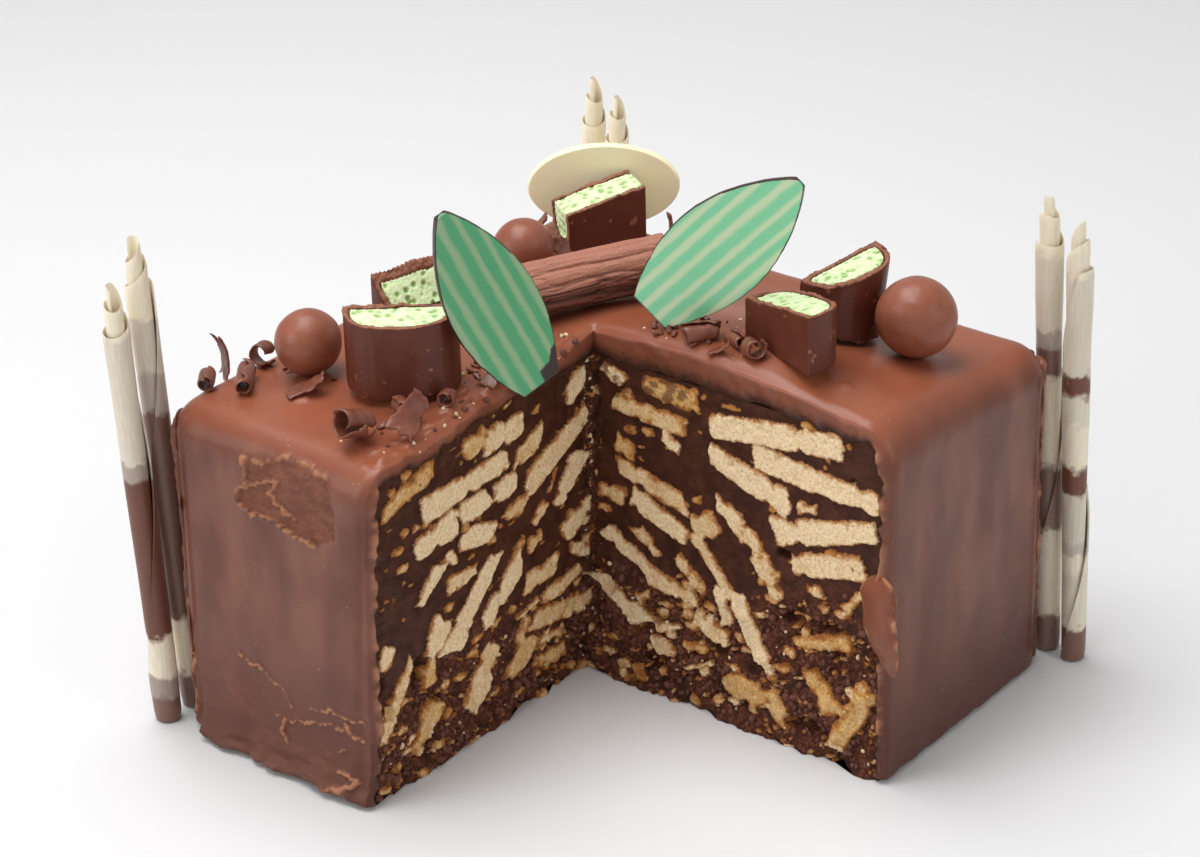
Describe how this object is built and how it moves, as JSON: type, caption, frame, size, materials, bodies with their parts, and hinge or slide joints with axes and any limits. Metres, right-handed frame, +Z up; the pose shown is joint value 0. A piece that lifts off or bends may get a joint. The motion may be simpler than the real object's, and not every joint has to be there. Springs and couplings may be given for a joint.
{
  "type": "chocolate biscuit cake",
  "caption": "Square chocolate biscuit cake with one corner cut out, milk chocolate coat, mint bar pieces, malt balls, leaves, curls and rolled sticks.",
  "frame": {"origin": "middle of the square's underside, on the surface that the cake stands on", "axes": "+Z up; the cake's four sides lie along X and Y, and the cut-out corner is at +X, -Y"},
  "size_m": [0.1973, 0.1968, 0.1607],
  "materials": {
    "biscuit_mix": "dull dark set chocolate with cut biscuits",
    "milk_chocolate": "satin poured milk chocolate",
    "rolled_chocolate": "satin white chocolate, marbled with milk chocolate",
    "ball_chocolate": "satin milk chocolate",
    "bar_chocolate": "satin moulded chocolate",
    "mint_filling": "dull pale green aerated filling",
    "printed_leaf": "dark chocolate with a satin green print",
    "ivory_chocolate": "satin white chocolate",
    "log_chocolate": "dull folded milk chocolate",
    "shaving_chocolate": "satin milk chocolate shavings"
  },
  "bodies": {
    "root": {"biscuit_mix": "biscuit_mix", "crinkled_log": "log_chocolate", "curl_arm_ring": "shaving_chocolate", "curl_arm_small": "shaving_chocolate", "curl_arm_thick": "shaving_chocolate", "curl_back_curl": "shaving_chocolate", "curl_cut_long": "shaving_chocolate", "curl_cut_ring": "shaving_chocolate", "curl_cut_short": "shaving_chocolate", "curl_left_inner": "shaving_chocolate", "curl_left_loop": "shaving_chocolate", "curl_left_outer": "shaving_chocolate", "leaf_left": "printed_leaf", "leaf_right": "printed_leaf", "malt_ball_back": "ball_chocolate", "malt_ball_left": "ball_chocolate", "malt_ball_right": "ball_chocolate", "milk_chocolate_coat": "milk_chocolate", "mint_bar_back_coat": "bar_chocolate", "mint_bar_back_filling": "mint_filling", "mint_bar_left_front_coat": "bar_chocolate", "mint_bar_left_front_filling": "mint_filling", "mint_bar_left_rear_coat": "bar_chocolate", "mint_bar_left_rear_filling": "mint_filling", "mint_bar_right_front_coat": "bar_chocolate", "mint_bar_right_front_filling": "mint_filling", "mint_bar_right_rear_coat": "bar_chocolate", "mint_bar_right_rear_filling": "mint_filling", "oval_plaque": "ivory_chocolate", "rolled_stick_back_left": "rolled_chocolate", "rolled_stick_back_right": "rolled_chocolate", "rolled_stick_left_front": "rolled_chocolate", "rolled_stick_left_rear": "rolled_chocolate", "rolled_stick_right_front": "rolled_chocolate", "rolled_stick_right_rear": "rolled_chocolate", "shard_arm_sheet": "shaving_chocolate", "shard_back_chunk": "shaving_chocolate", "shard_back_left": "shaving_chocolate", "shard_back_spike": "shaving_chocolate", "shard_cut_spike": "shaving_chocolate", "shard_cut_triangle": "shaving_chocolate", "shard_leaf_foot": "shaving_chocolate", "shard_left_spike": "shaving_chocolate", "shard_left_triangle": "shaving_chocolate"}
  },
  "joints": []
}
